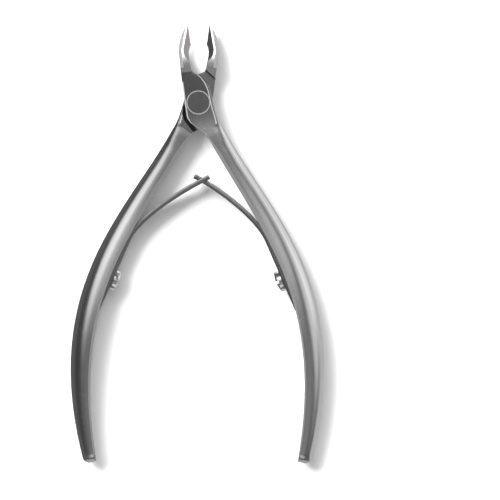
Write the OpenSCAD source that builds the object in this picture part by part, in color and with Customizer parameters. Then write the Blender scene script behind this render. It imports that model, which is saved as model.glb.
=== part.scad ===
// Cuticle nipper: two crossed levers on a screw pivot, opened by a pair of leaf springs.
// The nipper lies flat. +Y points at the blade tips, +Z is the side with the round pivot head.
// The origin is on the pivot axis, on the back face of the joint. Lengths are in millimetres.
// Both levers are drawn closed, with the blades on x = 0, and are then swung open.

/* [Opening] */
// Angle between the two blades when the springs hold the nipper open
opening = 15.4; // [6:0.2:15.4]

/* [Joint] */
// Thickness of the joint, both half laps together
joint_t = 7; // [5.8:0.1:8.4]
// Width of the joint across the pivot
joint_w = 8; // [7.8:0.1:9.6]
// Gap between the two sliding lap faces
lap_gap = 0.04; // [0.02:0.01:0.1]
// Gap between a lap's rim and the shoulder that it closes against
shoulder_gap = 0.15; // [0.1:0.01:0.3]

/* [Pivot] */
// Diameter of the flush round head of the pivot
pivot_head_d = 6.4; // [5.6:0.1:6.6]
// Thickness of the pivot's head and of the screw's head
pivot_head_t = 1.2; // [0.9:0.1:1.5]
// Diameter of the barrel that the levers turn on
pivot_barrel_d = 4; // [3.4:0.1:4.6]
// Diameter of the screw that closes the barrel from the back
pivot_screw_d = 2; // [1.6:0.1:2.2]
// Radial running gap around the barrel
pivot_fit = 0.03; // [0.02:0.01:0.05]
// Radial gap around the flush heads
head_fit = 0.06; // [0.04:0.01:0.1]
// Bevel on the rims of the heads and of their seats
rim_bevel = 0.16; // [0.1:0.01:0.2]

/* [Blades] */
// Distance from the pivot to the blade tips
blade_reach = 22.7; // [21:0.1:25]
// Length of the cutting edge along the nipper
edge_run = 6.1; // [5:0.1:7]
// How far the heel of the cutting edge stands behind the middle of the joint
heel_drop = 4.9; // [4.6:0.1:5.4]
// How far the tip stands behind the middle of the joint
tip_drop = 1.4; // [1:0.1:1.8]
// Radius of the front slope of the jaws
slope_r = 44; // [36:1:60]
// Radius of the wheel that hollows the inside of the blades
hollow_r = 4.2; // [3.6:0.1:4.8]

/* [Handles] */
// Distance from the pivot to the ends of the handles
handle_reach = 104.6; // [92:0.1:126]
// Furthest distance of a closed handle's middle line from the nipper's axis
handle_bow = 23; // [21:0.5:28]
// Width of a handle where it leaves the joint
neck_w = 5; // [4.6:0.1:6]
// Width of a handle at its widest
belly_w = 6.1; // [5.4:0.1:7.4]
// Width of a handle at its end
tail_w = 3.5; // [3:0.1:4.6]
// Depth of a handle at its belly, front to back
belly_t = 11; // [9.6:0.1:13.2]
// Depth of a handle at its end, front to back
tail_t = 6; // [5:0.1:7.2]

/* [Springs] */
// Thickness of a leaf
leaf_t = 1.35; // [1:0.05:1.6]
// Width of a leaf where it is screwed down
leaf_root_w = 5.6; // [4.8:0.1:6.2]
// Width of a leaf at its free end
leaf_tip_w = 4.4; // [4:0.1:5]
// Length of the flat part of a leaf, which lies in the handle
leaf_seat_l = 21; // [19:0.1:22]
// Share of an arm's curve that stays with the handle before it flexes
flex_place = 0.3; // [0.28:0.01:0.36]
// Width of the window near the left leaf's end
window_w = 2.5; // [2.3:0.1:2.8]
// Length of the window near the left leaf's end
window_l = 2.9; // [2.6:0.1:3.2]
// Width of the right leaf's tongue, which passes through the window
tongue_w = 2; // [1.6:0.1:2.1]
// Length of the narrow part of the tongue
tongue_l = 3.3; // [3:0.1:3.6]

/* [Spring screws] */
// Diameter of the domed heads of the spring screws
spring_screw_head_d = 5.8; // [5:0.1:6]
// Height of the domed heads
spring_screw_head_h = 1.8; // [1.4:0.1:2]
// Diameter of the spring screws' shanks
spring_screw_d = 2.2; // [1.8:0.1:2.5]
// Length of the shank below the leaf
spring_screw_l = 3; // [2:0.1:3.2]
// Distance of a spring screw from the end of its leaf
spring_screw_place = 9.3; // [8:0.1:12]

/* [Hidden] */

$fn = 64;
steel = "silver";
dark_steel = "dimgray";
bright_steel = "gainsboro";
half_t = joint_t / 2;
half_w = joint_w / 2;
swing = opening / 2;
beyond = 20;      // reach of a cutter past what it cuts
sides = 12;       // facets across the rounded side of a lever
skin = 0.02;      // gap between a fixed piece and its seat
hole_end_gap = 0.1; // how much deeper a blind hole or channel is than what it holds

// ---- curves ----

// A point on the Bezier curve through the first and last of the given points
function curve(p, t) = len(p) == 1
    ? p[0]
    : curve([for (i = [0 : len(p) - 2]) p[i] * (1 - t) + p[i + 1] * t], t);

// The direction of travel on that curve, as a unit vector
function heading(p, t) =
    let (d = curve([for (i = [0 : len(p) - 2]) p[i + 1] - p[i]], t))
    d / norm(d);

function turned_left(v) = [-v[1], v[0]];
function beside(p, t, offset) = curve(p, t) + turned_left(heading(p, t)) * offset;

// ---- handle, drawn for the lever whose handle goes to the right ----

handle_top = 9.5;
reach_scale = (handle_reach - handle_top) / 95.1;
bow_scale = handle_bow / 23;
function handle_point(across, down) = [across * bow_scale, -handle_top - down * reach_scale];
spine = [
    [3.9, -handle_top], handle_point(14.3, 26.8), handle_point(33.3, 48.8), [16.2 * bow_scale, -handle_reach]
];
widths = [neck_w, neck_w + 0.3, belly_w + 2.3, tail_w];
depths = [half_t, half_t + 0.1, half_t - 2.1, belly_t / 2 + 3.4, belly_t / 2 + 0.1, tail_t / 2];
tail_speed = norm(spine[3] - spine[2]) * 3;
tail_r = tail_t / 2;
corner_r = 1.7;
handle_rings = 38;
tail_angles = [14, 27, 40, 54, 68, 82];
tail_start = 1 - tail_r / tail_speed;

function from_end(t) = (1 - t) * tail_speed;
function fade(r, d) = d >= r ? 0 : r - sqrt(r * r - (r - d) * (r - d));
function handle_depth(t) = curve(depths, t) * (1 - fade(tail_r, from_end(t)) / tail_r);
function inner_point(t) = beside(spine, t, -curve(widths, t) / 2);
function outer_point(t) = beside(spine, t, curve(widths, t) / 2 - fade(corner_r, from_end(t)));
// How square the outer side is: high is square, 2 is an ellipse
function squareness(t) = lookup(t, [[0, 4.5], [0.05, 2.9], [0.12, 2.4], [1, 2.2]]);
function ring_at(t) = [inner_point(t), outer_point(t), -handle_depth(t), handle_depth(t),
    squareness(t), 0.3 * (1 - fade(tail_r, from_end(t)) / tail_r)];

// ---- joint and jaw, as left and right edges at each height ----

heel_y = blade_reach - edge_run;
relief_r = 2.9;
relief_y = heel_y - 2.6;
relief_z = -half_t - relief_r;
bevel_c = 0.25;
mouth_y = 8.4;

left_edge = [
    [-7.5, -0.9], [-6.7, -1.6], [-5.3, -half_w + 1], [-3.8, -half_w + 0.32], [-3, -half_w + 0.25],
    [0, -half_w + 0.2], [5.8, -half_w + 0.2], [heel_y - 2.6, -3.55], [heel_y - 1.4, -3.5],
    [heel_y - 0.2, -3.22], [heel_y + 1, -2.8], [blade_reach - 0.6, -0.75], [blade_reach + 0.1, -0.3]
];
lap_rim = [[half_w + 0.05, 1.2], [half_w - 0.1, 4.2], [2.6, 7], [0.5, mouth_y - 0.1]];
right_edge = concat(
    [[-7.5, 5.7], [-4.6, 4.85], [-2.3, half_w + 0.42], [-1.2, half_w + 0.27]],
    [for (i = [0 : 8]) let (p = curve(lap_rim, i / 8)) [p[1], p[0]]],
    [
        [mouth_y, 0.15], [mouth_y + 0.5, -0.5], [10, -0.78], [12.2, -0.9], [relief_y - 0.8, -0.92],
        [relief_y + 0.4, -0.87], [relief_y + 1.1, -0.72], [relief_y + 1.9, -0.4], [heel_y, 0],
        [heel_y + 0.05, 0.3], [blade_reach + 0.1, 0.3]
    ]
);
slope_tilt = 20.5;
slope_mid = [16.8, 0.42];
slope_y = slope_mid[0] + slope_r * sin(slope_tilt);
slope_z = slope_mid[1] + slope_r * cos(slope_tilt);

function front_z(y) = min(half_t, slope_z - sqrt(slope_r * slope_r - (y - slope_y) * (y - slope_y)));
function back_z(y) = y <= relief_y
    ? -half_t
    : relief_z + sqrt(relief_r * relief_r - pow(min(y, heel_y + 0.1) - relief_y, 2));
head_heights = [
    blade_reach + 0.1, blade_reach - 0.6, 21, 19.3, heel_y + 1, heel_y + 0.1, heel_y, heel_y - 0.2,
    heel_y - 0.5, heel_y - 0.9, heel_y - 1.4, heel_y - 1.9, relief_y, 13.2, 12.2, 11.3, 10.9, 10.4,
    10, mouth_y + 0.5, mouth_y, 8, 7.4, 6.8, 6, 5.2, 4.4, 3.4, 2.4, 1.2, 0, -1.2, -2.3, -3, -3.8,
    -4.6, -5.3, -6, -6.7, -7.5
];
function head_squareness(y) = lookup(y, [[-7.5, 7], [-3.5, 18], [mouth_y, 18], [mouth_y + 1, 60], [heel_y, 60]]);
function head_bevel(y) = lookup(y, [[mouth_y, bevel_c], [mouth_y + 1, 0.02]]);
function head_ring(y) = [[lookup(y, left_edge), y], [lookup(y, right_edge), y], back_z(y), front_z(y),
    head_squareness(y), head_bevel(y)];
crotch_ring = [[0.3, -8.6], [5.95, -8], -half_t, half_t, 5.6, bevel_c];

lever_rings = concat(
    [for (y = head_heights) head_ring(y)],
    [crotch_ring],
    [for (i = [0 : handle_rings - 1]) ring_at(tail_start * i / (handle_rings - 1))],
    [for (a = tail_angles) ring_at(1 - tail_r * (1 - sin(a)) / tail_speed)]
);

// The outline of a ring: a flat inner side with bevelled edges and a rounded outer side
function ring_points(r) =
    let (
        across = r[1] - r[0],
        middle = (r[2] + r[3]) / 2,
        half = (r[3] - r[2]) / 2,
        c = min(r[5], half / 3),
        start = min(c / norm(across), 0.3),
        place = function(p, q) [r[0][0] + across[0] * p, r[0][1] + across[1] * p, middle + half * q]
    )
    concat(
        [place(0, -1 + c / half), place(0, 1 - c / half)],
        [
            for (i = [0 : sides])
                let (a = 90 - 180 * i / sides, power = 2 / r[4])
                place(start + (1 - start) * pow(abs(cos(a)), power), sign(sin(a)) * pow(abs(sin(a)), power))
        ]
    );

module lofted(rings) {
    points = [for (r = rings) ring_points(r)];
    n = len(points[0]);
    last = len(points) - 1;
    polyhedron(
        [for (ring = points) each ring],
        concat(
            [[for (j = [n - 1 : -1 : 0]) j]],
            [[for (j = [0 : n - 1]) last * n + j]],
            [
                for (i = [0 : last - 1], j = [0 : n - 1])
                    let (k = (j + 1) % n)
                    each [
                        [i * n + j, i * n + k, (i + 1) * n + j],
                        [i * n + k, (i + 1) * n + k, (i + 1) * n + j]
                    ]
            ]
        )
    );
}

// ---- cutters for a lever ----

// Half of the joint, which the other lever's lap turns in
module lap_space(side) {
    g = shoulder_gap;
    rim = half_w - 0.2 + g;
    depth = half_t + 2;
    z0 = side > 0 ? -depth : -lap_gap / 2;
    translate([0, 0, z0])
        linear_extrude(depth + lap_gap / 2)
            polygon([
                [-6, 6], [0, 10], [3, 10], [7, 4], [7, -0.6], [rim, -1.3], [rim, -3.9],
                [rim - 0.72, -5.4], [1.62 + g, -6.85], [0.3, -8.3], [-3, -9], [-6, -4]
            ]);
}

// The wheel cut that hollows the inner face of a blade down to its edge
edge_rise = (heel_drop - tip_drop) / edge_run;
hollow_lean = 19.3;
hollow_fall = atan(sin(hollow_lean) * edge_rise);
hollow_depth = sin(hollow_lean) * tip_drop;
hollow_y = 15.3;
hollow_x = 2.4;
blade_gap = 0.02;

module blade_hollow() {
    rotate([0, -hollow_lean, 0])
        linear_extrude(beyond, center = true) {
            translate([-hollow_depth - blade_gap, blade_reach])
                rotate(-hollow_fall)
                    translate([0, hollow_y - blade_reach])
                        square([beyond, blade_reach - hollow_y + 4]);
            translate([hollow_x, hollow_y])
                circle(hollow_r);
        }
}

// The flat outer bevel, from the cutting edge to the flank
bevel_lean = 43;
module outer_bevel() {
    translate([0, blade_reach, -tip_drop])
        rotate([atan(edge_rise), 0, 0])
            rotate([0, bevel_lean, 0])
                translate([-beyond, -beyond, -beyond])
                    cube([2 * beyond, 2 * beyond, beyond]);
}

module pivot_space(side) {
    barrel_r = pivot_barrel_d / 2 + (side > 0 ? pivot_fit : 0);
    seat_r = pivot_head_d / 2 + head_fit;
    cylinder(h = joint_t + 2, r = barrel_r, center = true);
    mirror([0, 0, side > 0 ? 0 : 1]) {
        translate([0, 0, half_t - pivot_head_t - lap_gap / 2])
            cylinder(h = pivot_head_t + 2, r = seat_r);
        translate([0, 0, half_t - rim_bevel])
            cylinder(h = 2 * rim_bevel, r1 = seat_r, r2 = seat_r + 2 * rim_bevel);
    }
}

// ---- leaf springs, drawn in the right-hand handle's frame ----

leaf_lean = 15.9;
leaf_up = [-sin(leaf_lean), cos(leaf_lean)];
leaf_out = [cos(leaf_lean), sin(leaf_lean)];
leaf_bend = [14.3 * bow_scale, -handle_top - 31.8 * reach_scale];
leaf_end = leaf_bend - leaf_up * leaf_seat_l;
leaf_screw = leaf_end + leaf_up * spring_screw_place - leaf_out * leaf_t / 2;

// A place on the open nipper, as it is in the frame of the closed front or back lever
function turned(p, a) = [p[0] * cos(a) - p[1] * sin(a), p[0] * sin(a) + p[1] * cos(a)];
function in_front_lever(p) = turned(p, -swing);
function in_back_lever(p) = let (q = turned(p, swing)) [-q[0], q[1]];

// The leaves cross here on the open nipper, the right one's tongue through the left one's window
spring_cross = [1.2, -21.92];
left_arm = [
    leaf_bend, leaf_bend + leaf_up * 7.3,
    in_back_lever(spring_cross + [-6.3, -3.12]), in_back_lever(spring_cross + [1.99, 1.02])
];
right_arm = [
    leaf_bend, leaf_bend + leaf_up * 8.4,
    in_front_lever(spring_cross + [2.4, -1]), in_front_lever(spring_cross + [-2.3, 1.2])
];
function arm_reach(path) = norm(path[3] - curve(path, flex_place));
arm_steps = 9;
knuckle_gap = 0.03;
head_l = 1;            // length of the wider head of the tongue
window_end = 0.75;     // strip of leaf left beyond the window
screw_play = 0.2;      // how much wider the leaf's hole is than the screw
screw_slot_w = 0.8;
screw_slot_t = 0.8;
screw_rim = 1.3;       // straight part of a spring screw's head
thread_l = leaf_t + spring_screw_l;

// One face of a leaf along part of a curve, as points in order
function face(path, t0, t1, offset) =
    [for (i = [0 : arm_steps]) beside(path, t0 + (t1 - t0) * i / arm_steps, offset)];

function reversed(list) = [for (i = [len(list) - 1 : -1 : 0]) list[i]];

module root_outline(path) {
    r = leaf_t / 2;
    difference() {
        polygon(concat(
            [leaf_end + leaf_out * r],
            face(path, 0, flex_place, -r),
            reversed(face(path, 0, flex_place, r)),
            [leaf_end - leaf_out * r]
        ));
        translate(curve(path, flex_place))
            circle(r + knuckle_gap);
    }
}

// The arm's strip, with a half-round heel that turns in the root's hollow end
module arm_outline(path) {
    r = leaf_t / 2;
    back = -heading(path, flex_place);
    polygon(concat(
        face(path, flex_place, 1, -r),
        reversed(face(path, flex_place, 1, r)),
        [for (a = [15 : 15 : 165]) curve(path, flex_place) + r * (back * sin(a) - turned_left(back) * cos(a))]
    ));
}

module spring_root(path) {
    difference() {
        linear_extrude(leaf_root_w, center = true)
            root_outline(path);
        spring_screw_axis()
            cylinder(h = beyond, d = spring_screw_d + screw_play, center = true);
    }
}

// Places its child with z out of the leaf's face, at the spring screw
module spring_screw_axis() {
    translate([leaf_screw[0], leaf_screw[1], 0])
        rotate(leaf_lean)
            rotate([0, -90, 0])
                children();
}

// Places its child with x along the leaf from its free end back towards the handle
module at_arm_end(path) {
    back = -heading(path, 1);
    translate([path[3][0], path[3][1], 0])
        rotate(atan2(back[1], back[0]))
            children();
}

module arm_blank(path) {
    linear_extrude(leaf_root_w, center = true)
        arm_outline(path);
}

// The leaf seen square on its face: half widths at distances from the free end
module arm_plan(path, outline) {
    at_arm_end(path)
        rotate([90, 0, 0])
            linear_extrude(2 * beyond, center = true)
                polygon(concat(outline, [for (p = reversed(outline)) [p[0], -p[1]]]));
}

module left_arm_shape() {
    difference() {
        intersection() {
            arm_blank(left_arm);
            arm_plan(left_arm, [
                [-1, leaf_tip_w / 2], [window_end + window_l, leaf_tip_w / 2],
                [arm_reach(left_arm), leaf_root_w / 2], [arm_reach(left_arm) + 2 * leaf_t, leaf_root_w / 2]
            ]);
        }
        at_arm_end(left_arm)
            translate([window_end, -beyond / 2, -window_w / 2])
                cube([window_l, beyond, window_w]);
    }
}

module right_arm_shape() {
    neck_end = head_l + tongue_l;
    intersection() {
        arm_blank(right_arm);
        arm_plan(right_arm, [
            [-1, leaf_tip_w / 2 - 0.3], [head_l, leaf_tip_w / 2 - 0.3], [head_l, tongue_w / 2],
            [neck_end, tongue_w / 2], [neck_end, leaf_tip_w / 2],
            [arm_reach(right_arm), leaf_root_w / 2], [arm_reach(right_arm) + 2 * leaf_t, leaf_root_w / 2]
        ]);
    }
}

// The channel milled in the handle for the flat of the leaf
module leaf_channel(path) {
    w = leaf_root_w + 4 * skin;
    near = -2.5 * leaf_t;
    far = leaf_t / 2 + skin;
    low_end = leaf_end - leaf_up * hole_end_gap;
    top = 0.5;
    linear_extrude(w, center = true)
        polygon(concat(
            [low_end + leaf_out * near, low_end + leaf_out * far, leaf_bend + leaf_out * far],
            [for (i = [1 : arm_steps]) beside(path, top * i / arm_steps, -far)],
            [beside(path, top, -near), leaf_bend + leaf_out * near]
        ));
}

module spring_screw() {
    head_r = spring_screw_head_d / 2;
    dome = spring_screw_head_h - screw_rim;
    ball = (head_r * head_r + dome * dome) / (2 * dome);
    spring_screw_axis()
        difference() {
            union() {
                cylinder(h = screw_rim + 0.001, r = head_r);
                intersection() {
                    translate([0, 0, screw_rim + dome - ball])
                        sphere(ball);
                    translate([0, 0, screw_rim])
                        cylinder(h = dome + 1, r = head_r);
                }
                translate([0, 0, -thread_l])
                    cylinder(h = thread_l, d = spring_screw_d);
            }
            translate([-head_r - 1, -screw_slot_w / 2, spring_screw_head_h - screw_slot_t])
                cube([2 * head_r + 2, screw_slot_w, 2 * screw_slot_t]);
        }
}

// ---- levers ----

module lever(side, path) {
    difference() {
        lofted(lever_rings);
        lap_space(side);
        blade_hollow();
        outer_bevel();
        pivot_space(side);
        leaf_channel(path);
        spring_screw_axis()
            translate([0, 0, -thread_l - hole_end_gap])
                cylinder(h = thread_l + hole_end_gap + 1, d = spring_screw_d);
    }
}

// ---- places of the two levers and what rides on them ----

module with_front_lever() {
    translate([0, 0, half_t])
        rotate(swing)
            children();
}

module with_back_lever() {
    translate([0, 0, half_t])
        rotate(-swing)
            children();
}

module front_lever() {
    color(steel)
        with_front_lever()
            lever(1, right_arm);
}

module back_lever() {
    color(dark_steel)
        with_back_lever()
            mirror([1, 0, 0])
                lever(-1, left_arm);
}

bore_top = half_t - pivot_head_t - 0.2;
screw_top = bore_top - 0.5;

module pivot_barrel() {
    head_r = pivot_head_d / 2;
    bottom = -half_t + pivot_head_t + lap_gap / 2;
    color(bright_steel)
        with_back_lever()
            difference() {
                union() {
                    translate([0, 0, bottom])
                        cylinder(h = half_t - rim_bevel - bottom, d = pivot_barrel_d);
                    translate([0, 0, half_t - pivot_head_t])
                        cylinder(h = pivot_head_t - rim_bevel, r = head_r);
                    translate([0, 0, half_t - rim_bevel])
                        cylinder(h = rim_bevel, r1 = head_r, r2 = head_r - rim_bevel);
                }
                translate([0, 0, -half_t])
                    cylinder(h = half_t + bore_top, d = pivot_screw_d);
            }
}

module pivot_screw() {
    head_r = pivot_head_d / 2;
    bottom = -half_t;
    slot_w = 0.9;
    slot_t = 0.7;
    color(bright_steel)
        with_back_lever()
            difference() {
                union() {
                    translate([0, 0, bottom + rim_bevel])
                        cylinder(h = pivot_head_t - rim_bevel, r = head_r);
                    translate([0, 0, bottom])
                        cylinder(h = rim_bevel, r1 = head_r - rim_bevel, r2 = head_r);
                    translate([0, 0, bottom + slot_t])
                        cylinder(h = screw_top - bottom - slot_t, d = pivot_screw_d);
                }
                translate([-head_r - 1, -slot_w / 2, bottom - 1])
                    cube([2 * head_r + 2, slot_w, slot_t + 1]);
            }
}

module left_spring_root() {
    color(steel)
        with_back_lever()
            mirror([1, 0, 0])
                spring_root(left_arm);
}

module left_spring_arm() {
    color(steel)
        with_back_lever()
            mirror([1, 0, 0])
                left_arm_shape();
}

module left_spring_screw() {
    color(bright_steel)
        with_back_lever()
            mirror([1, 0, 0])
                spring_screw();
}

module right_spring_root() {
    color(steel)
        with_front_lever()
            spring_root(right_arm);
}

module right_spring_arm() {
    color(steel)
        with_front_lever()
            right_arm_shape();
}

module right_spring_screw() {
    color(bright_steel)
        with_front_lever()
            spring_screw();
}

front_lever();
back_lever();
pivot_barrel();
pivot_screw();
left_spring_root();
left_spring_arm();
left_spring_screw();
right_spring_root();
right_spring_arm();
right_spring_screw();
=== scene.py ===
import math

import bmesh
import bpy
import numpy as np
from mathutils import Matrix, Vector


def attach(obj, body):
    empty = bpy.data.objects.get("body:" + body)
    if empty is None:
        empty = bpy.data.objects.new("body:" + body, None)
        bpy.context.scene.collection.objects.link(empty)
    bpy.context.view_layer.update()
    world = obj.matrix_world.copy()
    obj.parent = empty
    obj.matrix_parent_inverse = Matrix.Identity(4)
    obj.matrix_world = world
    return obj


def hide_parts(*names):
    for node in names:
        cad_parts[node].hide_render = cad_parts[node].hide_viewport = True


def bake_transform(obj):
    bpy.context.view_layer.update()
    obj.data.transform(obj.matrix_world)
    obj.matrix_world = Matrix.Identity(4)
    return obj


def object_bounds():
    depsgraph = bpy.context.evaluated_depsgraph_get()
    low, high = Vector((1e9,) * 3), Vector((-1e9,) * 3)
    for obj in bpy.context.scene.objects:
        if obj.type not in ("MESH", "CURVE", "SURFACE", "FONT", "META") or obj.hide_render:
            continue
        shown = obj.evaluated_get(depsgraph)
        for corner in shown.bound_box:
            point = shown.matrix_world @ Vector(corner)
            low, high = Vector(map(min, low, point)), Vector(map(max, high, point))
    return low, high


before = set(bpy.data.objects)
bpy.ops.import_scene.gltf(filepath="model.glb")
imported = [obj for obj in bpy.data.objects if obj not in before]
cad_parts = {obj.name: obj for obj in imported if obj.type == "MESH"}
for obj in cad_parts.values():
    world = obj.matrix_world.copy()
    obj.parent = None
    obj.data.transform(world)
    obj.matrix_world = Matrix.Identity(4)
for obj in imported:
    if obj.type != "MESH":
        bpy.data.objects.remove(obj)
cad_lo, cad_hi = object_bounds()

# Lengths are in millimetres up to the last step of each mesh, which turns them into metres.
MM = 0.001

# ---- sizes, as in the CAD part ----

OPENING = 15.4
SWING = OPENING / 2
JOINT_T, JOINT_W = 7.0, 8.0
LAP_GAP, SHOULDER_GAP = 0.04, 0.15
HEAD_D, HEAD_T, BARREL_D, SCREW_D = 6.4, 1.2, 4.0, 2.0
PIVOT_FIT, HEAD_FIT, RIM_BEVEL = 0.03, 0.06, 0.12
BLADE_REACH, EDGE_RUN, HEEL_DROP, TIP_DROP = 22.7, 6.1, 4.9, 1.4
SLOPE_R, HOLLOW_R = 44.0, 4.2
HANDLE_REACH, HANDLE_TOP = 104.6, 9.5
NECK_W, BELLY_W, TAIL_W, BELLY_T, TAIL_T = 5.0, 6.1, 3.5, 11.0, 6.0
LEAF_T, LEAF_ROOT_W, LEAF_TIP_W, LEAF_SEAT_L = 1.35, 5.6, 4.4, 21.0
FLEX_PLACE = 0.3
WINDOW_W, WINDOW_L, WINDOW_END = 2.5, 2.9, 0.75
TONGUE_W, TONGUE_L, TONGUE_HEAD_L = 2.0, 3.3, 1.0
SCREW_HEAD_D, SCREW_HEAD_H, SPRING_SCREW_D, SPRING_SCREW_L, SCREW_PLACE = 5.8, 1.8, 2.2, 3.0, 9.3
SCREW_RIM = 1.3
SKIN = 0.02
HALF_T, HALF_W = JOINT_T / 2, JOINT_W / 2
FAR = 20.0  # past every edge of what a cutter cuts

# Finishes of a lever, in the order of its material slots. The groove's near-black finish is a
# painted shadow.
SATIN, GROUND, EDGE_SATIN, EDGE_BRIGHT, BLADE, GROOVE_PAINTED_SHADOW, SHANK = range(7)


def sin(a):
    return math.sin(math.radians(a))


def cos(a):
    return math.cos(math.radians(a))


def turned(p, a):
    """The point p, turned by a degrees round the origin."""
    return np.array([p[0] * cos(a) - p[1] * sin(a), p[0] * sin(a) + p[1] * cos(a)])


# ---- curves ----


def curve(points, t):
    """The Bezier curve through its control points, at t from 0 to 1."""
    p = [np.array(q, float) for q in points]
    while len(p) > 1:
        p = [a * (1 - t) + b * t for a, b in zip(p, p[1:])]
    return p[0]


def heading(points, t):
    steps = [np.array(b, float) - np.array(a, float) for a, b in zip(points, points[1:])]
    d = curve(steps, t)
    return d / np.linalg.norm(d)


def left_of(v):
    return np.array([-v[1], v[0]])


def beside(points, t, offset):
    """A point to the left of a curve, at right angles to it."""
    return curve(points, t) + left_of(heading(points, t)) * offset


def lookup(x, table):
    xs, ys = zip(*table)
    return float(np.interp(x, xs, ys))


def smooth_lookup(x, table):
    """The same table read through a smooth curve that passes its points."""
    xs, ys = (np.array(v, float) for v in zip(*table))
    x = min(max(x, xs[0]), xs[-1])
    i = min(int(np.searchsorted(xs, x, side="right")) - 1, len(xs) - 2)
    slope = np.diff(ys) / np.diff(xs)

    def tangent(k):
        if k == 0 or k == len(xs) - 1:
            return slope[min(k, len(slope) - 1)]
        a, b = slope[k - 1], slope[k]
        return 0.0 if a * b <= 0 else 2 * a * b / (a + b)

    h = xs[i + 1] - xs[i]
    s = (x - xs[i]) / h
    m0, m1 = tangent(i) * h, tangent(i + 1) * h
    return (
        (2 * s**3 - 3 * s**2 + 1) * ys[i]
        + (s**3 - 2 * s**2 + s) * m0
        + (-2 * s**3 + 3 * s**2) * ys[i + 1]
        + (s**3 - s**2) * m1
    )


# ---- the body of a lever ----

HANDLE_RUN = 95.1  # the handle's height for which the points below are given
reach_scale = (HANDLE_REACH - HANDLE_TOP) / HANDLE_RUN


def handle_point(across, down):
    return [across, -HANDLE_TOP - down * reach_scale]


# Control points of the handle's middle line, its widths and its half depths
SPINE = [
    [3.9, -HANDLE_TOP], handle_point(14.3, 26.8), handle_point(33.3, 48.8), [16.2, -HANDLE_REACH],
]
WIDTHS = [NECK_W, NECK_W + 0.3, BELLY_W + 2.3, TAIL_W]
DEPTHS = [
    HALF_T + 0.2, HALF_T + 0.3, HALF_T - 1.9, BELLY_T / 2 + 3.3, BELLY_T / 2 + 0.1, TAIL_T / 2,
]
TAIL_SPEED = 3 * math.dist(SPINE[3], SPINE[2])
TAIL_R, CORNER_R = TAIL_T / 2, 1.7
TAIL_START = 1 - TAIL_R / TAIL_SPEED
HANDLE_SQUARE = [[0, 4.5], [0.05, 2.9], [0.12, 2.4], [1, 2.2]]
HANDLE_BEVEL = [[0, 0.3], [0.03, 0.7], [0.08, 0.95], [0.46, 0.95], [0.62, 0.5], [1, 0.35]]
BEVEL_SLANT = 0.38  # depth of the handle's inner bevel as a share of its width


def fade(r, d):
    """How much a round of radius r takes off at a distance d from the end."""
    return 0.0 if d >= r else r - math.sqrt(max(0.0, r * r - (r - d) ** 2))


def handle_ring(t):
    """The handle's section at t: inner and outer point, low and high side, squareness, bevel."""
    rest = (1 - t) * TAIL_SPEED
    width = float(curve(WIDTHS, t))
    shrink = 1 - fade(TAIL_R, rest) / TAIL_R
    depth = float(curve(DEPTHS, t)) * shrink
    inner = beside(SPINE, t, -width / 2)
    outer = beside(SPINE, t, width / 2 - fade(CORNER_R, rest))
    square = lookup(t, HANDLE_SQUARE)
    bevel_w = smooth_lookup(t, HANDLE_BEVEL)
    return [*inner, *outer, -depth, depth, square, bevel_w * shrink, BEVEL_SLANT * bevel_w * shrink]


# The head: y runs along it, and the two edges and two faces are given by y.
HEEL_Y = BLADE_REACH - EDGE_RUN
RELIEF_R = 2.9
RELIEF_Y = HEEL_Y - 2.6
RELIEF_Z = -HALF_T - RELIEF_R
MOUTH_Y = 8.4
BEVEL_C = 0.22
HEAD_LOW = -7.5  # where the head ends and the neck begins
LEFT_EDGE = [
    [HEAD_LOW, -0.9], [-6.7, -1.6], [-5.3, -HALF_W + 1], [-3.8, -HALF_W + 0.32],
    [-3, -HALF_W + 0.25],
    [0, -HALF_W + 0.2], [5.8, -HALF_W + 0.2], [HEEL_Y - 2.6, -3.7], [HEEL_Y - 1.4, -3.68],
    [HEEL_Y - 0.2, -3.45], [HEEL_Y + 1, -3.05], [BLADE_REACH - 0.6, -1.05],
    [BLADE_REACH + 0.1, -0.8],
]
LAP_RIM = [[HALF_W + 0.05, 1.2], [HALF_W - 0.1, 4.2], [2.6, 7], [0.5, MOUTH_Y - 0.1]]
RIM_POINTS = [curve(LAP_RIM, i / 24) for i in range(25)]
RIGHT_LOW = [
    [HEAD_LOW, 5.7], [-4.6, 4.85], [-2.3, HALF_W + 0.42], [-1.2, HALF_W + 0.27],
    *([p[1], p[0]] for p in RIM_POINTS),
]
RIGHT_HIGH = [
    [MOUTH_Y - 0.1, 0.5], [MOUTH_Y, 0.15], [MOUTH_Y + 0.5, -0.5], [10, -0.78], [12.2, -0.9],
    [RELIEF_Y - 0.8, -0.92], [RELIEF_Y + 0.4, -0.87], [RELIEF_Y + 1.1, -0.72],
    [RELIEF_Y + 1.9, -0.4], [HEEL_Y, 0],
]
BLADE_PAST = 0.3  # the blade passes the middle by this much before it is ground back
SLOPE_TILT, SLOPE_MID = 20.5, [16.8, 0.42]
SLOPE_Y = SLOPE_MID[0] + SLOPE_R * sin(SLOPE_TILT)
SLOPE_Z = SLOPE_MID[1] + SLOPE_R * cos(SLOPE_TILT)
SLOPE_START = SLOPE_Y - math.sqrt(SLOPE_R**2 - (SLOPE_Z - HALF_T) ** 2)


def right_edge(y):
    if y < MOUTH_Y - 0.1:
        return smooth_lookup(y, RIGHT_LOW)
    if y <= HEEL_Y:
        return smooth_lookup(y, RIGHT_HIGH)
    return BLADE_PAST * min(1.0, (y - HEEL_Y) / 0.05)


def front_z(y):
    return min(HALF_T, SLOPE_Z - math.sqrt(SLOPE_R**2 - (y - SLOPE_Y) ** 2))


def back_z(y):
    if y <= RELIEF_Y:
        return -HALF_T
    return RELIEF_Z + math.sqrt(RELIEF_R**2 - (min(y, HEEL_Y + 0.1) - RELIEF_Y) ** 2)


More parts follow.
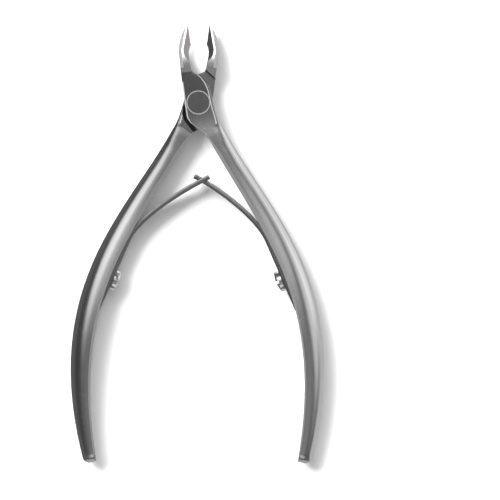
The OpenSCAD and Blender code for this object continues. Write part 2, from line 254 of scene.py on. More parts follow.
HEAD_SQUARE = [
    [HEAD_LOW, 7], [-6.2, 11], [-4.5, 18], [MOUTH_Y, 18], [MOUTH_Y + 1, 60], [HEEL_Y, 60],
]
HEAD_BEVEL = [[MOUTH_Y, BEVEL_C], [MOUTH_Y + 1, 0.09], [BLADE_REACH, 0.08]]
RISE_START, RISE = -3.3, 0.0054


def neck_rise(y):
    """The lap face is flat round the pivot and rises a little towards the handle."""
    return RISE * max(0.0, RISE_START - y) ** 2


def head_ring(y):
    """The same figures as handle_ring, for the head's section at y."""
    square, c, rise = lookup(y, HEAD_SQUARE), lookup(y, HEAD_BEVEL), neck_rise(y)
    low, high = back_z(y) - rise, front_z(y) + rise
    return [smooth_lookup(y, LEFT_EDGE), y, right_edge(y), y, low, high, square, c, c]


# The section in the crotch of the lever, between head and handle
CROTCH = [0.3, -8.6, 5.95, -8, -HALF_T - 0.14, HALF_T + 0.14, 5.6, BEVEL_C, BEVEL_C]


def between(a, b, c, d, s):
    """A ring between b and c, on a smooth run through all four."""
    a, b, c, d = (np.array(v, float) for v in (a, b, c, d))
    square, cube = 2 * a - 5 * b + 4 * c - d, 3 * b - 3 * c + d - a
    return 0.5 * (2 * b + (c - a) * s + square * s**2 + cube * s**3)


HEAD_STEP, JAW_STEP, JAW_RUN = 0.3, 0.2, 3
NECK_STEPS, HANDLE_STEPS, TAIL_STEPS = 4, 110, 15


def lever_rings():
    """Sections from the blade's tip down to the handle's end."""
    ys = set(np.round(np.arange(HEAD_LOW, HEEL_Y - JAW_RUN, HEAD_STEP), 4))
    ys |= set(np.round(np.arange(HEEL_Y - JAW_RUN, BLADE_REACH, JAW_STEP), 4))
    ys |= {BLADE_REACH + 0.1, BLADE_REACH - 0.6, RELIEF_Y}
    ys |= {HEEL_Y + 0.1, HEEL_Y + 0.05, HEEL_Y, HEEL_Y - 0.1}
    ys |= {MOUTH_Y, MOUTH_Y - 0.1, MOUTH_Y + 0.5, SLOPE_START}
    ys -= {y for y in ys if SLOPE_START < y < SLOPE_START + 0.15}
    rings = [head_ring(y) for y in sorted(ys, reverse=True)]
    handle = [handle_ring(TAIL_START * i / HANDLE_STEPS) for i in range(HANDLE_STEPS + 1)]
    neck = [rings[-1], CROTCH, handle[0]]
    before, after = head_ring(-7.2), handle[2]
    for k in range(2):
        a = before if k == 0 else neck[0]
        d = neck[2] if k == 0 else after
        for i in range(1, NECK_STEPS + 1):
            rings.append(list(between(a, neck[k], neck[k + 1], d, i / NECK_STEPS)))
    rings = rings[:-1] + handle
    for i in range(1, TAIL_STEPS):
        a = i * 90 / TAIL_STEPS
        rings.append(handle_ring(1 - TAIL_R * (1 - sin(a)) / TAIL_SPEED))
    return rings


SIDES = 44
CORNER_STEPS = 5
PIVOT_STEPS = 128


def ring_points(r):
    """A section's outline: two bevels on its inner side, then a rounded run down its outer side."""
    x0, y0, x1, y1, z0, z1, square, cx, cz = r
    width = math.hypot(x1 - x0, y1 - y0)
    middle, half = (z0 + z1) / 2, (z1 - z0) / 2
    cz = min(cz, half / 3)
    start = min(cx / width, 0.3)
    pts = []

    def place(p, q):
        pts.append([x0 + (x1 - x0) * p, y0 + (y1 - y0) * p, middle + half * q])

    for i in range(CORNER_STEPS + 1):
        s = i / CORNER_STEPS
        place(start * (1 - s), -1 + cz / half * s)
    for i in range(CORNER_STEPS):
        s = i / CORNER_STEPS
        place(start * s, 1 - cz / half * (1 - s))
    power = 2 / square
    for i in range(SIDES):
        a = 90 - 180 * i / SIDES
        place(
            start + (1 - start) * abs(cos(a)) ** power,
            math.copysign(abs(sin(a)) ** power, sin(a)),
        )
    return pts


# ---- meshes ----


def new_mesh(name, verts, faces, uvs=None, material=SATIN):
    """A mesh with its grain map, which is flat on each face unless uvs are given."""
    mesh = bpy.data.meshes.new(name)
    mesh.from_pydata([tuple(v) for v in verts], [], faces)
    mesh.polygons.foreach_set("material_index", [material] * len(mesh.polygons))
    layer = mesh.uv_layers.new(name="grain")
    co = np.array(verts, float)
    if uvs is None:
        uvs = []
        for p in mesh.polygons:
            axis = int(np.argmax([abs(c) for c in p.normal]))
            keep = [i for i in (0, 1, 2) if i != axis]
            uvs += [tuple(co[v][keep]) for v in p.vertices]
    layer.data.foreach_set("uv", np.array(uvs, np.float32).ravel())
    mesh.update()
    return mesh


def lofted(name, rings, material_of=None):
    """A closed skin through rings of points. u runs along it and v around it, in millimetres."""
    pts = np.array(rings, float)
    count, n = pts.shape[:2]
    centres = pts.mean(axis=1)
    along = np.concatenate([[0], np.cumsum(np.linalg.norm(np.diff(centres, axis=0), axis=1))])
    steps = np.linalg.norm(np.roll(pts, -1, axis=1) - pts, axis=2)
    around = np.concatenate([np.zeros((count, 1)), np.cumsum(steps, axis=1)], axis=1)
    verts = pts.reshape(-1, 3)
    faces, uvs = [], []
    for i in range(count - 1):
        for j in range(n):
            k = (j + 1) % n
            faces.append((i * n + j, (i + 1) * n + j, (i + 1) * n + k, i * n + k))
            for ring, side in ((i, j), (i + 1, j), (i + 1, j + 1), (i, j + 1)):
                uvs.append((along[ring], around[ring][side]))
    faces.append(tuple(range(n)))
    faces.append(tuple((count - 1) * n + j for j in range(n - 1, -1, -1)))
    for ring in (0, count - 1):
        order = range(n) if ring == 0 else range(n - 1, -1, -1)
        uvs += [(along[ring], around[ring][j]) for j in order]
    mesh = new_mesh(name, verts, faces, uvs)
    if material_of:
        index = [material_of(i, j) for i in range(count - 1) for j in range(n)] + [SATIN, SATIN]
        mesh.polygons.foreach_set("material_index", index)
    return outward(mesh)


def outward(mesh):
    """Merges doubled points and turns every face outwards."""
    bm = bmesh.new()
    bm.from_mesh(mesh)
    bmesh.ops.remove_doubles(bm, verts=bm.verts, dist=1e-5)
    bmesh.ops.recalc_face_normals(bm, faces=bm.faces)
    bm.to_mesh(mesh)
    bm.free()
    return mesh


def prism(points, z0, z1, material=SATIN):
    """An outline in the plane, raised from z0 to z1."""
    n = len(points)
    verts = [[p[0], p[1], z0] for p in points] + [[p[0], p[1], z1] for p in points]
    faces = [tuple(range(n)), tuple(range(n, 2 * n))]
    faces += [(i, (i + 1) % n, n + (i + 1) % n, n + i) for i in range(n)]
    return outward(new_mesh("cutter", verts, faces, material=material))


def lathe(profile, steps=96, material=SATIN):
    """Turns (radius, height) points around z. A radius of 0 closes the end."""
    verts, rows = [], []
    for r, z in profile:
        if r <= 0:
            rows.append([len(verts)])
            verts.append([0, 0, z])
        else:
            rows.append(list(range(len(verts), len(verts) + steps)))
            verts += [[r * cos(360 * i / steps), r * sin(360 * i / steps), z] for i in range(steps)]
    faces = []
    for a, b in zip(rows, rows[1:]):
        for i in range(steps):
            k = (i + 1) % steps
            f = [a[i % len(a)], a[k % len(a)], b[k % len(b)], b[i % len(b)]]
            faces.append(tuple(dict.fromkeys(f)))
    if len(rows[0]) > 1:
        faces.append(tuple(rows[0]))
    if len(rows[-1]) > 1:
        faces.append(tuple(rows[-1]))
    return outward(new_mesh("turned", verts, [f for f in faces if len(f) > 2], material=material))


def moved(mesh, matrix):
    mesh.transform(matrix)
    if matrix.determinant() < 0:
        mesh.flip_normals()
    return mesh


def temporary(mesh):
    o = bpy.data.objects.new("temporary", mesh)
    bpy.context.scene.collection.objects.link(o)
    return o


def without(mesh, other):
    """The mesh with the other one cut away. The cut faces keep the other one's finish."""
    for m in (mesh, other):
        while len(m.materials) <= SHANK:
            m.materials.append(None)
    a, b = temporary(mesh), temporary(other)
    cut = a.modifiers.new("cut", "BOOLEAN")
    cut.operation, cut.solver, cut.object = "DIFFERENCE", "EXACT", b
    bpy.context.view_layer.update()
    done = bpy.data.meshes.new_from_object(a.evaluated_get(bpy.context.evaluated_depsgraph_get()))
    for o in (a, b):
        bpy.data.objects.remove(o)
    return done


def cut_away(mesh, *cutters):
    for c in cutters:
        mesh = without(mesh, c)
    return mesh


def rot(axis, a):
    return Matrix.Rotation(math.radians(a), 4, axis)


def shift(x, y, z):
    return Matrix.Translation((x, y, z))


# Places of the two levers: from the closed lever's own frame to the open nipper
IN_FRONT = shift(0, 0, HALF_T) @ rot("Z", SWING)
IN_BACK = shift(0, 0, HALF_T) @ rot("Z", -SWING) @ Matrix.Scale(-1, 4, (1, 0, 0))


FLAT_WITHIN = math.radians(0.4)


def crisp_borders(mesh):
    """Joins the flat faces that cutting left, and sharpens edges where one finish meets another."""
    bm = bmesh.new()
    bm.from_mesh(mesh)
    cut = [
        e for e in bm.edges
        if len(e.link_faces) == 2 and all(f.material_index == GROUND for f in e.link_faces)
    ]
    bmesh.ops.dissolve_limit(
        bm, angle_limit=FLAT_WITHIN, edges=cut, verts=[], delimit={"MATERIAL"}
    )
    for e in bm.edges:
        if len({f.material_index for f in e.link_faces}) > 1:
            e.smooth = False
    bm.to_mesh(mesh)
    bm.free()


def piece(name, mesh, materials, place, smooth=32.0, weighted=True):
    """Turns a mesh in millimetres into a piece of the object, in metres."""
    moved(mesh, place)
    mesh.transform(Matrix.Scale(MM, 4))
    mesh.name = name
    index = np.zeros(len(mesh.polygons), np.int32)
    mesh.polygons.foreach_get("material_index", index)
    mesh.materials.clear()
    for m in materials:
        mesh.materials.append(m)
    mesh.polygons.foreach_set("material_index", index)
    bm = bmesh.new()
    bm.from_mesh(mesh)
    bmesh.ops.dissolve_degenerate(bm, edges=bm.edges, dist=1e-8)
    bm.to_mesh(mesh)
    bm.free()
    mesh.shade_smooth()
    mesh.set_sharp_from_angle(angle=math.radians(smooth))
    crisp_borders(mesh)
    o = bpy.data.objects.new(name, mesh)
    bpy.context.scene.collection.objects.link(o)
    if weighted:
        w = o.modifiers.new("even normals", "WEIGHTED_NORMAL")
        w.keep_sharp = True
        w.weight = 60
    return o


# ---- materials ----


LINE_SCALE, CLOUD_SCALE, SPECK_SCALE = 1.6, 95.0, 1400.0
CLOUD_SHARE = 0.6  # of the lines' change of tone
SPECK_SHARE = 0.25  # of the lines' height
PAINTED_SHADE_RUN = (-2.0, 10.0)  # millimetres along the way below where the shade painted on the joint fades out
PAINTED_SHADE_WAY = (0.4, -0.9)


def steel(name, color, roughness, grain=(0.05, 5.0), *, bump, spread, mottle, metal=1.0,
          joint_painted_shade=None):
    """Brushed steel: lines along u of the grain map, with slow changes of tone and of roughness.

    The grain is the noise's scale along and across the lines, per millimetre, and the bump is the
    lines' height in millimetres. Spread and mottle are the changes of roughness and of tone. The
    joint option paints shade: the joint's face is painted darker, fading towards the handle.
    """
    m = bpy.data.materials.new(name)
    m.use_nodes = True
    t = m.node_tree
    shader = t.nodes["Principled BSDF"]
    shader.inputs["Metallic"].default_value = metal
    uv = t.nodes.new("ShaderNodeUVMap")
    uv.uv_map = "grain"
    place = t.nodes.new("ShaderNodeTexCoord")

    def noise(vector, scale, detail, rough):
        n = t.nodes.new("ShaderNodeTexNoise")
        n.inputs["Scale"].default_value = scale
        n.inputs["Detail"].default_value = detail
        n.inputs["Roughness"].default_value = rough
        t.links.new(vector, n.inputs["Vector"])
        return n.outputs["Fac"]

    def ranged(value, low, high, out_low, out_high):
        r = t.nodes.new("ShaderNodeMapRange")
        r.inputs["From Min"].default_value = low
        r.inputs["From Max"].default_value = high
        r.inputs["To Min"].default_value = out_low
        r.inputs["To Max"].default_value = out_high
        t.links.new(value, r.inputs["Value"])
        return r.outputs["Result"]

    stretch = t.nodes.new("ShaderNodeMapping")
    stretch.inputs["Scale"].default_value = (grain[0], grain[1], 1)
    t.links.new(uv.outputs["UV"], stretch.inputs["Vector"])
    lines = noise(stretch.outputs["Vector"], LINE_SCALE, 6.0, 0.7)
    clouds = noise(place.outputs["Object"], CLOUD_SCALE, 3.0, 0.6)
    specks = noise(place.outputs["Object"], SPECK_SCALE, 2.0, 0.5)
    tone = t.nodes.new("ShaderNodeMix")
    tone.data_type = "RGBA"
    tone.blend_type = "MULTIPLY"
    tone.inputs["Factor"].default_value = 1.0
    tone.inputs[6].default_value = (*color, 1)
    shade = t.nodes.new("ShaderNodeMath")
    shade.operation = "MULTIPLY"
    t.links.new(ranged(lines, 0.3, 0.7, 1 - mottle, 1.0), shade.inputs[0])
    t.links.new(ranged(clouds, 0.35, 0.65, 1 - CLOUD_SHARE * mottle, 1.0), shade.inputs[1])
    if joint_painted_shade:
        # Painted shade: the joint's face is painted darker, and the painted shade fades towards the
        # handle.
        along = t.nodes.new("ShaderNodeVectorMath")
        along.operation = "DOT_PRODUCT"
        along.inputs[1].default_value = (PAINTED_SHADE_WAY[0] / MM, PAINTED_SHADE_WAY[1] / MM, 0)
        t.links.new(place.outputs["Object"], along.inputs[0])
        darker = t.nodes.new("ShaderNodeMath")
        darker.operation = "MULTIPLY"
        fading = ranged(along.outputs["Value"], *PAINTED_SHADE_RUN, joint_painted_shade, 1.0)
        t.links.new(fading, darker.inputs[0])
        t.links.new(shade.outputs[0], darker.inputs[1])
        shade = darker
    t.links.new(shade.outputs[0], tone.inputs[7])
    t.links.new(tone.outputs[2], shader.inputs["Base Color"])
    rough = t.nodes.new("ShaderNodeMath")
    rough.operation = "ADD"
    t.links.new(ranged(lines, 0.3, 0.7, roughness - spread, roughness + spread), rough.inputs[0])
    t.links.new(ranged(clouds, 0.35, 0.65, -0.5 * spread, 0.5 * spread), rough.inputs[1])
    t.links.new(rough.outputs[0], shader.inputs["Roughness"])
    height = t.nodes.new("ShaderNodeMath")
    height.operation = "MULTIPLY_ADD"
    height.inputs[1].default_value = SPECK_SHARE
    t.links.new(specks, height.inputs[0])
    t.links.new(lines, height.inputs[2])
    b = t.nodes.new("ShaderNodeBump")
    b.inputs["Strength"].default_value = 1.0
    b.inputs["Distance"].default_value = bump * MM
    t.links.new(height.outputs[0], b.inputs["Height"])
    t.links.new(b.outputs["Normal"], shader.inputs["Normal"])
    return m


# The satin finish carries painted shade: its joint face is painted darker, fading towards the
# handle.
satin = steel(
    "lever_satin", (0.68, 0.68, 0.685), 0.24,
    bump=0.006, spread=0.04, mottle=0.06, joint_painted_shade=0.42,
)
ground = steel(
    "lever_ground", (0.48, 0.455, 0.445), 0.26, (0.5, 0.5), bump=0.002, spread=0.03, mottle=0.06
)
edge_satin = steel(
    "edge_satin", (0.30, 0.30, 0.30), 0.42, bump=0.004, spread=0.05, mottle=0.08, metal=0.55
)
edge_bright = steel(
    "edge_bright", (0.48, 0.48, 0.48), 0.45, bump=0.002, spread=0.05, mottle=0.10, metal=0.35
)
blade = steel(
    "blade_polished", (0.88, 0.88, 0.885), 0.14, (2.0, 0.1), bump=0.003, spread=0.03, mottle=0.05
)
# Painted shadow: a near-black finish for the grooves along the shoulders, dark as the shade in the
# gap beside the lap.
groove = steel(
    "groove_painted_shadow", (0.10, 0.10, 0.10), 0.45, (0.5, 0.5), bump=0.004, spread=0.05, mottle=0.15
)
shank = steel("jaw_satin", (0.76, 0.76, 0.765), 0.22, bump=0.003, spread=0.03, mottle=0.05)
pivot_face = steel(
    "pivot_satin", (0.34, 0.335, 0.335), 0.25, (0.9, 0.9), bump=0.004, spread=0.03, mottle=0.05
)
leaf_steel = steel(
    "leaf_satin", (0.46, 0.46, 0.465), 0.24, (0.05, 4.0), bump=0.005, spread=0.04, mottle=0.06
)
polished = steel(
    "screw_polished", (0.90, 0.90, 0.905), 0.05, (0.6, 0.6), bump=0.001, spread=0.02, mottle=0.04
)

# ---- springs' middle lines, in the closed lever's own frame ----

LEAF_LEAN = 15.9
LEAF_UP = np.array([-sin(LEAF_LEAN), cos(LEAF_LEAN)])
LEAF_OUT = np.array([cos(LEAF_LEAN), sin(LEAF_LEAN)])
LEAF_BEND = np.array([14.3, -HANDLE_TOP - 31.8 * reach_scale])
LEAF_END = LEAF_BEND - LEAF_UP * LEAF_SEAT_L
LEAF_SCREW = LEAF_END + LEAF_UP * SCREW_PLACE - LEAF_OUT * LEAF_T / 2
CROSSING = np.array([1.2, -21.92])  # the leaves cross here on the open nipper


def in_front(p):
    """A point of the open nipper, in the closed front lever's own frame."""
    return turned(p, -SWING)


def in_back(p):
    """A point of the open nipper, in the closed back lever's own frame."""
    q = turned(p, SWING)
    return np.array([-q[0], q[1]])


LEFT_ARM = [
    LEAF_BEND, LEAF_BEND + LEAF_UP * 7.3,
    in_back(CROSSING + [-6.3, -3.12]), in_back(CROSSING + [1.99, 1.02]),
]
RIGHT_ARM = [
    LEAF_BEND, LEAF_BEND + LEAF_UP * 8.4,
    in_front(CROSSING + [2.4, -1]), in_front(CROSSING + [-2.3, 1.2]),
]

# ---- cutters, in the closed lever's own frame ----


LAP_RIM_X = HALF_W - 0.2 + SHOULDER_GAP
# The lower shoulder, from the side of the joint to the crotch
SHOULDER = [
    (LAP_RIM_X, -1.3), (LAP_RIM_X, -3.9), (LAP_RIM_X - 0.72, -5.4), (1.62 + SHOULDER_GAP, -6.85),
    (0.3, -8.3),
]
UPPER_SHOULDER = [(-6, 6), (0, 10)]


def lap_space(side):
    """Room for the other lever's lap. The side is 1 for the front lever and -1 for the back one."""
    depth = HALF_T + 2
    z0 = -depth if side > 0 else -LAP_GAP / 2
    points = [*UPPER_SHOULDER, (3, 10), (7, 4), (7, -0.6), *SHOULDER, (-3, -9), (-6, -4)]
    return prism(points, z0, z0 + depth + LAP_GAP / 2, GROUND)


GROOVE_DEEP = 1.4
CORNER_W, CORNER_DEEP = 0.32, 0.6


def relief_groove(side):
    """Clearance groove along the foot of the shoulder that the other lever's lap turns towards."""
    inner = [(x - 0.9, y + 0.5) for x, y in reversed(SHOULDER)]
    outer = [(x + 0.1, y - 0.06) for x, y in SHOULDER]
    open_side = HALF_T + 1
    span = (-open_side, GROOVE_DEEP) if side > 0 else (-GROOVE_DEEP, open_side)
    # The groove's faces take the painted-shadow finish.
    return prism(outer + inner, *span, GROOVE_PAINTED_SHADOW)


def corner_groove(side):
    """The same along the upper shoulder, under the jaw."""
    along, inward = np.array([0.832, 0.555]), np.array([0.555, -0.832])
    a = np.array(UPPER_SHOULDER[0]) - along
    b = np.array(UPPER_SHOULDER[1]) + along
    w = inward * CORNER_W
    span = (0, CORNER_DEEP) if side > 0 else (-CORNER_DEEP, 0)
    # The groove's faces take the painted-shadow finish.
    return prism([tuple(a), tuple(b), tuple(b + w), tuple(a + w)], *span, GROOVE_PAINTED_SHADOW)


EDGE_RISE = (HEEL_DROP - TIP_DROP) / EDGE_RUN
HOLLOW_LEAN = 19.3
HOLLOW_FALL = math.degrees(math.atan(sin(HOLLOW_LEAN) * EDGE_RISE))
HOLLOW_DEPTH = sin(HOLLOW_LEAN) * TIP_DROP
HOLLOW_Y, HOLLOW_X, BLADE_GAP = 15.3, 2.4, 0.02
WHEEL_STEPS = 60
OUTER_BEVEL_A = 43


def blade_hollow():
    """What the wheel takes from the jaw: a round hollow and a straight run to the tip."""
    corner = np.array([-HOLLOW_DEPTH - BLADE_GAP, BLADE_REACH])
    down = HOLLOW_Y - BLADE_REACH
    low = corner + turned((0, down), -HOLLOW_FALL)
    high = corner + turned((0, 4), -HOLLOW_FALL)
    wheel = np.array([HOLLOW_X, HOLLOW_Y])
    # The straight run ends where the wheel's circle takes over.
    along = (high - low) / np.linalg.norm(high - low)
    b = np.dot(low - wheel, along)
    c = np.dot(low - wheel, low - wheel) - HOLLOW_R**2
    root = b * b - c
    meet = low if c >= 0 or root < 0 else low + along * (-b + math.sqrt(root))
    a0 = math.degrees(math.atan2(*(meet - wheel)[::-1])) % 360
    arc = np.linspace(a0, 360, WHEEL_STEPS)[1:]
    points = [tuple(meet), *(tuple(wheel + HOLLOW_R * np.array([cos(a), sin(a)])) for a in arc)]
    points += [tuple(high + turned((FAR, 0), -HOLLOW_FALL)), tuple(high)]
    return moved(prism(points, -FAR, FAR, GROUND), rot("Y", -HOLLOW_LEAN))


def outer_bevel():
    """The bevel behind the cutting edge, which slants with it."""
    w = 2 * FAR
    block = prism([(-w, -w), (w, -w), (w, w), (-w, w)], -FAR, 0, BLADE)
    place = shift(0, BLADE_REACH, -TIP_DROP) @ rot("X", math.degrees(math.atan(EDGE_RISE)))
    return moved(block, place @ rot("Y", OUTER_BEVEL_A))


def pivot_space(side):
    """The barrel's bore, and the head's seat with its bright rim."""
    barrel = BARREL_D / 2 + (PIVOT_FIT if side > 0 else 0.01)
    seat = HEAD_D / 2 + HEAD_FIT
    low = HALF_T - HEAD_T - LAP_GAP / 2
    profile = [
        (0, -HALF_T - 1), (barrel, -HALF_T - 1), (barrel, low), (seat, low),
        (seat, HALF_T - RIM_BEVEL), (seat + RIM_BEVEL, HALF_T), (seat + RIM_BEVEL, HALF_T + 1),
        (0, HALF_T + 1),
    ]
    flip = Matrix.Identity(4) if side > 0 else Matrix.Scale(-1, 4, (0, 0, 1))
    return moved(lathe(profile, PIVOT_STEPS, EDGE_BRIGHT), flip)


def leaf_channel(path):
    """The flat on the handle's inner side that the leaf's root lies on."""
    w = LEAF_ROOT_W / 2 + 2 * SKIN
    near, far = -2.5 * LEAF_T, LEAF_T / 2 + SKIN
    low = LEAF_END - LEAF_UP * 0.1
    points = [low + LEAF_OUT * near, low + LEAF_OUT * far, LEAF_BEND + LEAF_OUT * far]
    points += [beside(path, 0.5 * i / 24, -far) for i in range(1, 25)]
    points += [beside(path, 0.5, -near), LEAF_BEND + LEAF_OUT * near]
    return prism(points, -w, w, GROUND)


# Faces of a section, by their number round it
FIRST_SIDE = 2 * CORNER_STEPS + 1
LAST_SIDE = FIRST_SIDE + SIDES
CHAMFERS = {*range(CORNER_STEPS), *range(CORNER_STEPS + 1, FIRST_SIDE)}
RIMS = {*range(FIRST_SIDE + 5, FIRST_SIDE + 7), *range(LAST_SIDE - 7, LAST_SIDE - 5)}
# Heights where one finish takes over from another
SHANK_START = {1: 8.9, -1: 6.4}
CHAMFER_TOP, RIM_LOW, JOINT_LOW = 6.5, -6.5, -9.4
# A flat across the back lever's neck, level with the joint
NECK_FLAT = [(-2.1, -10.8), (7, -5.5), (9, 10), (-6, 10)]


def lever_mesh(side, path):
    """A lever: side 1 has its lap in front, side -1 behind. The path is its leaf's middle line."""
    rings = lever_rings()

    def material_of(i, j):
        y = rings[i][1]
        chamfer, rim = j in CHAMFERS, j in RIMS and RIM_LOW < y < MOUTH_Y
        if y > SLOPE_START + 0.01:
            return EDGE_SATIN if chamfer else BLADE
        if y > SHANK_START[side]:
            return SHANK
        if y > JOINT_LOW:
            return EDGE_BRIGHT if rim or (chamfer and y < CHAMFER_TOP) else SATIN
        return EDGE_SATIN if chamfer else SATIN

    body = lofted("lever", [ring_points(r) for r in rings], material_of)
    cuts = [lap_space(side), relief_groove(side), corner_groove(side)]
    cuts += [blade_hollow(), outer_bevel(), pivot_space(side), leaf_channel(path)]
    if side < 0:
        cuts.append(prism(NECK_FLAT, HALF_T, HALF_T + 1, GROUND))
    return cut_away(body, *cuts)


# ---- levers ----

LEVER_FINISHES = [satin, ground, edge_satin, edge_bright, blade, groove, shank]
front_lever = piece("FrontLever", lever_mesh(1, RIGHT_ARM), LEVER_FINISHES, IN_FRONT)
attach(front_lever, "front_lever")
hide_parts("front_lever")

back_lever = piece("BackLever", lever_mesh(-1, LEFT_ARM), LEVER_FINISHES, IN_BACK)
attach(back_lever, "back_lever")
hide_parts("back_lever")

# ---- pivot ----


def slot_box(width, depth, top, radius):
    """A screwdriver slot across a head that ends at the given height."""
    w, r = width / 2, radius + 1
    return prism([(-r, -w), (r, -w), (r, w), (-r, w)], top - depth, top + 1)


barrel_low = -HALF_T + HEAD_T + LAP_GAP / 2
bore_top = HALF_T - HEAD_T - 0.2
up = HALF_T - HEAD_T
HEAD_R = HEAD_D / 2
head_profile = [
    (HEAD_R, up), (HEAD_R, HEAD_T - RIM_BEVEL + up), (HEAD_R - RIM_BEVEL, HEAD_T + up),
    (0, HEAD_T + up),
]
barrel = lathe(
    [
        (0, bore_top), (SCREW_D / 2, bore_top), (SCREW_D / 2, barrel_low),
        (BARREL_D / 2, barrel_low), (BARREL_D / 2, up), *head_profile,
    ],
    PIVOT_STEPS,
)
for p in barrel.polygons:
    # Only the head's bevel slants. It takes the second finish of the pivot's head.
    p.material_index = int(0.3 < abs(p.normal.z) < 0.95)
pivot = piece("PivotHead", barrel, [pivot_face, edge_bright], IN_BACK)
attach(pivot, "back_lever")
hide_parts("pivot_barrel")

PIVOT_SLOT_W, PIVOT_SLOT_H = 0.9, 0.7
screw_end = -(bore_top - 0.5)
screw = lathe(
    [
        (0, screw_end), (SCREW_D / 2 - 0.2, screw_end), (SCREW_D / 2, -(bore_top - 0.7)),
        (SCREW_D / 2, up), *head_profile,
    ],
    PIVOT_STEPS,
)
screw = cut_away(screw, slot_box(PIVOT_SLOT_W, PIVOT_SLOT_H, HALF_T, HEAD_R))
moved(screw, Matrix.Scale(-1, 4, (0, 0, 1)))
pivot_screw = piece("PivotScrew", screw, [pivot_face], IN_BACK)
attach(pivot_screw, "back_lever")
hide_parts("pivot_screw")

# ---- leaf springs ----


SEAT_STEPS, ARM_STEPS = 40, 90
LEAF_EDGE_R, LEAF_EDGE_STEPS = 0.3, 4


def leaf_line(path):
    """Points and headings along a leaf's middle, up to its tip, and the run left to the tip."""
    pts = [LEAF_END + (LEAF_BEND - LEAF_END) * i / SEAT_STEPS for i in range(SEAT_STEPS)]
    dirs = [LEAF_UP] * SEAT_STEPS
    for i in range(ARM_STEPS + 1):
        pts.append(curve(path, i / ARM_STEPS))
        dirs.append(heading(path, i / ARM_STEPS))
    pts, dirs = np.array(pts), np.array(dirs)
    steps = np.linalg.norm(np.diff(pts, axis=0), axis=1)
    left = np.concatenate([np.cumsum(steps[::-1])[::-1], [0]])
    return pts, dirs, left


def leaf_mesh(path, tongue):
    """A leaf with rounded edges. The right one ends in a narrow tongue with a wider head."""
    pts, dirs, left = leaf_line(path)
    knee = float(np.linalg.norm(np.array(path[3]) - curve(path, FLEX_PLACE)))
    wide = [[WINDOW_END + WINDOW_L, LEAF_TIP_W / 2], [knee, LEAF_ROOT_W / 2]]
    marks = [0.06, 0.03]
    if tongue:
        neck = TONGUE_HEAD_L + TONGUE_L
        marks += [TONGUE_HEAD_L + 0.02, TONGUE_HEAD_L - 0.02, TONGUE_HEAD_L - 0.1]
        marks += [neck - 0.02, neck + 0.02, neck + 0.1]

    def half_width(s):
        """Half the leaf's width at a distance s from its tip."""
        if tongue and s < TONGUE_HEAD_L:
            w = LEAF_TIP_W / 2 - 0.3 - (0.1 if s > TONGUE_HEAD_L - 0.05 else 0)
        elif tongue and s < neck:
            w = TONGUE_W / 2
        else:
            w = lookup(s, wide) - (0.1 if tongue and s < neck + 0.05 else 0)
        end = 0.18 if s < 0.001 else (0.07 if s < 0.04 else (0.02 if s < 0.07 else 0))
        return w - end

    stations = sorted(set(np.round(left, 5)) | set(marks), reverse=True)
    rings = []
    for s in stations:
        p = np.array([np.interp(s, left[::-1], pts[::-1, k]) for k in (0, 1)])
        d = np.array([np.interp(s, left[::-1], dirs[::-1, k]) for k in (0, 1)])
        d /= np.linalg.norm(d)
        side = left_of(d)
        shrink = 0.12 if s < 0.001 else (0.04 if s < 0.04 else 0)
        r = LEAF_EDGE_R
        t, w = LEAF_T / 2 - shrink - r, half_width(s) - r
        ring = []
        for cx, cz, a0 in ((t, w, 0), (-t, w, 90), (-t, -w, 180), (t, -w, 270)):
            for k in range(LEAF_EDGE_STEPS + 1):
                a = a0 + 90 * k / LEAF_EDGE_STEPS
                q = p + side * (cx + r * cos(a))
                ring.append([q[0], q[1], cz + r * sin(a)])
        rings.append(ring)
    return lofted("leaf", rings)


def arm_window(path):
    """The window near the left leaf's end, which takes the other leaf's tongue."""
    back = -heading(path, 1)
    turn = math.degrees(math.atan2(back[1], back[0]))
    low, high = WINDOW_END, WINDOW_END + WINDOW_L
    box = prism([(low, -FAR), (high, -FAR), (high, FAR), (low, FAR)], -WINDOW_W / 2, WINDOW_W / 2)
    return moved(box, shift(path[3][0], path[3][1], 0) @ rot("Z", turn))


BLEND_BEFORE, BLEND_AFTER = 2.5, 5


def leaf_spring(name, mesh, place, path, nodes):
    """One leaf, put in place in metres with the CAD leaf's nodes hidden. The ends of a short
    stretch round its hinge are worked out, but nothing uses them.
    """
    leaf = piece(name, mesh, [leaf_steel], place, 40.0, False)
    hinge = place @ Vector((*curve(path, FLEX_PLACE), 0))
    way = place.to_3x3() @ Vector((*heading(path, FLEX_PLACE), 0))
    start, end = (hinge - way * BLEND_BEFORE) * MM, (hinge + way * BLEND_AFTER) * MM
    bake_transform(leaf)
    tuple(start)
    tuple(end)
    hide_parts(*nodes)


left_leaf = cut_away(leaf_mesh(LEFT_ARM, False), arm_window(LEFT_ARM))
leaf_spring(
    "LeftLeafSpring", left_leaf, IN_BACK, LEFT_ARM,
    ["left_spring_root", "left_spring_arm"],
)
leaf_spring(
    "RightLeafSpring", leaf_mesh(RIGHT_ARM, True), IN_FRONT, RIGHT_ARM,
    ["right_spring_root", "right_spring_arm"],
)

# ---- spring screws ----


SPRING_SLOT_W, SPRING_SLOT_H = 0.8, 0.8
DOME_STEPS = 12


